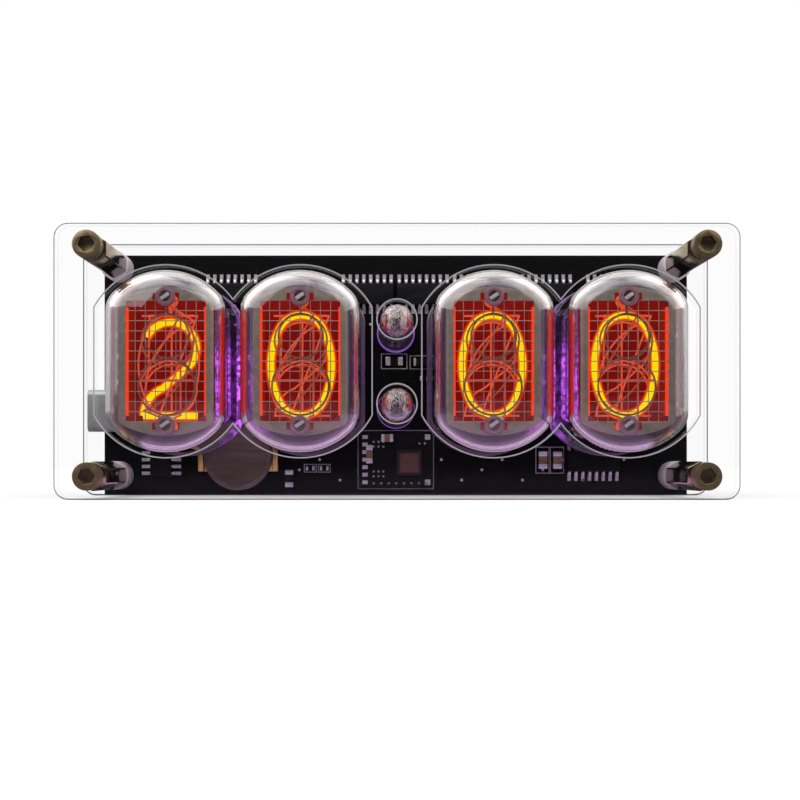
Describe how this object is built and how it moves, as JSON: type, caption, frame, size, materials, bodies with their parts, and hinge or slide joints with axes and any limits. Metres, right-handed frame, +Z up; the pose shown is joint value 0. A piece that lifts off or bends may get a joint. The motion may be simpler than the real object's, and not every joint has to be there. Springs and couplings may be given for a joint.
{
  "type": "nixie tube clock",
  "caption": "Desk clock with end-view nixie digit tubes and a neon colon on a black circuit board, held between clear acrylic plates by screws and hex standoffs.",
  "frame": {"origin": "middle of the base: centre of the clock's bounding box in X and Y, on the surface that the two plates' lower edges stand on", "axes": "+X to the reader's right, -Y the side that the digits face, +Z up"},
  "size_m": [0.1194, 0.043, 0.048],
  "materials": {
    "backlight": "white body with a clear purple light",
    "base_glass": "grey glass sealed to the bulb",
    "black_board": "black solder mask with white print",
    "black_plastic": "black plastic",
    "button_plastic": "black plastic",
    "capacitor_ceramic": "brown ceramic with tinned ends",
    "cell_steel": "stainless steel",
    "chip_plastic": "moulded black plastic",
    "clear_acrylic": "clear polished acrylic",
    "dark_cathode": "etched nickel wire",
    "electrode_metal": "nickel",
    "eyelet_ceramic": "pinkish ceramic",
    "gold_contact": "gold plated",
    "lamp_glass": "clear glass",
    "lit_cathode": "etched nickel wire inside an orange neon glow",
    "mesh_metal": "etched nickel",
    "module_board": "black board with a ferrite coil",
    "pin_metal": "plated",
    "screw_metal": "nickel plated steel",
    "shield_metal": "dark oxidised nickel",
    "socket_steel": "tinned steel",
    "standoff_metal": "nickel plated brass",
    "tube_glass": "clear glass",
    "white_nylon": "white nylon"
  },
  "bodies": {
    "root": {"front_plate": "clear_acrylic", "rear_plate": "clear_acrylic", "circuit_board": "black_board", "front_screws": "screw_metal", "rear_screws": "screw_metal", "hex_standoffs": "standoff_metal", "board_spacers": "white_nylon", "rear_spacers": "white_nylon", "tube_1_envelope": "tube_glass", "tube_1_base": "base_glass", "tube_1_pins": "pin_metal", "tube_1_shield": "shield_metal", "tube_1_posts": "eyelet_ceramic", "tube_1_anode_mesh": "mesh_metal", "tube_1_cathodes": "dark_cathode", "tube_1_lit_cathode": "lit_cathode", "tube_2_envelope": "tube_glass", "tube_2_base": "base_glass", "tube_2_pins": "pin_metal", "tube_2_shield": "shield_metal", "tube_2_posts": "eyelet_ceramic", "tube_2_anode_mesh": "mesh_metal", "tube_2_cathodes": "dark_cathode", "tube_2_lit_cathode": "lit_cathode", "tube_3_envelope": "tube_glass", "tube_3_base": "base_glass", "tube_3_pins": "pin_metal", "tube_3_shield": "shield_metal", "tube_3_posts": "eyelet_ceramic", "tube_3_anode_mesh": "mesh_metal", "tube_3_cathodes": "dark_cathode", "tube_3_lit_cathode": "lit_cathode", "tube_4_envelope": "tube_glass", "tube_4_base": "base_glass", "tube_4_pins": "pin_metal", "tube_4_shield": "shield_metal", "tube_4_posts": "eyelet_ceramic", "tube_4_anode_mesh": "mesh_metal", "tube_4_cathodes": "dark_cathode", "tube_4_lit_cathode": "lit_cathode", "upper_lamp_bulb": "lamp_glass", "upper_lamp_electrodes": "electrode_metal", "lower_lamp_bulb": "lamp_glass", "lower_lamp_electrodes": "electrode_metal", "lamp_collars": "white_nylon", "pin_receptacles": "gold_contact", "backlights": "backlight", "driver_chips": "chip_plastic", "interface_chip": "chip_plastic", "power_module": "module_board", "ceramic_capacitors": "capacitor_ceramic", "small_parts": "chip_plastic", "usb_shell": "socket_steel", "usb_tongue": "black_plastic", "coin_cell": "cell_steel", "cell_holder": "gold_contact", "switch_bodies": "black_plastic"},
    "left_key": {"left_button": "button_plastic"},
    "middle_key": {"middle_button": "button_plastic"},
    "right_key": {"right_button": "button_plastic"}
  },
  "joints": [
    {"name": "left_key_press", "type": "slide", "parent": "root", "child": "left_key", "axis": [0, -1, 0], "range_m": [0, 0.00025], "stiffness_N_per_m": 3000},
    {"name": "middle_key_press", "type": "slide", "parent": "root", "child": "middle_key", "axis": [0, -1, 0], "range_m": [0, 0.00025], "stiffness_N_per_m": 3000},
    {"name": "right_key_press", "type": "slide", "parent": "root", "child": "right_key", "axis": [0, -1, 0], "range_m": [0, 0.00025], "stiffness_N_per_m": 3000}
  ]
}
